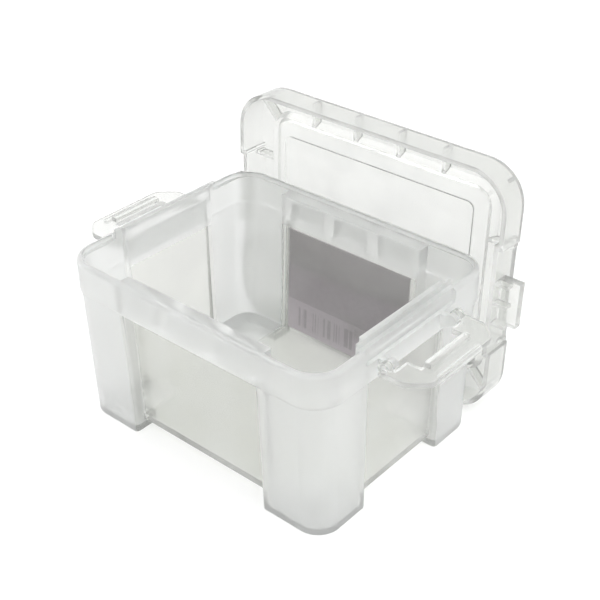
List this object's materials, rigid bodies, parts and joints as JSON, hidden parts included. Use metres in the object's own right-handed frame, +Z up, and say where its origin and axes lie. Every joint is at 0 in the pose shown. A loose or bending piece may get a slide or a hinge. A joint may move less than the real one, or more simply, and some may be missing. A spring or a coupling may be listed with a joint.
{
  "type": "cryogenic storage box",
  "caption": "Small clear plastic storage box for cryogenic vials, with corner feet, a loose lid, clip handles that lock it down and a paper label.",
  "frame": {"origin": "on the surface the box stands on, under the middle of the whole footprint of tub, handles and lid", "axes": "+Z up; +X along the box's long side, towards handle_right; +Y from the tub towards the lid that stands behind it"},
  "size_m": [0.1054, 0.0728, 0.066],
  "materials": {
    "clear_polypropylene": "translucent, smooth, slightly cloudy",
    "label_paper": "matte printed paper"
  },
  "bodies": {
    "box": {"box_body": "clear_polypropylene", "label": "label_paper"},
    "lid": {"lid": "clear_polypropylene"},
    "handle_right": {"handle_right": "clear_polypropylene"},
    "handle_left": {"handle_left": "clear_polypropylene"}
  },
  "joints": [
    {"name": "lid_lift", "type": "slide", "parent": "box", "child": "lid", "axis": [-0.0001, 0.0279, 0.9996], "range_m": [0, 0.055]},
    {"name": "handle_right_hinge", "type": "hinge", "parent": "box", "child": "handle_right", "pos_m": [0.0419, -0.00498, 0.0402], "axis": [0, -1, 0], "range_deg": [0, 90]},
    {"name": "handle_left_hinge", "type": "hinge", "parent": "box", "child": "handle_left", "pos_m": [-0.0419, -0.00498, 0.0402], "axis": [0, 1, 0], "range_deg": [0, 90]}
  ]
}
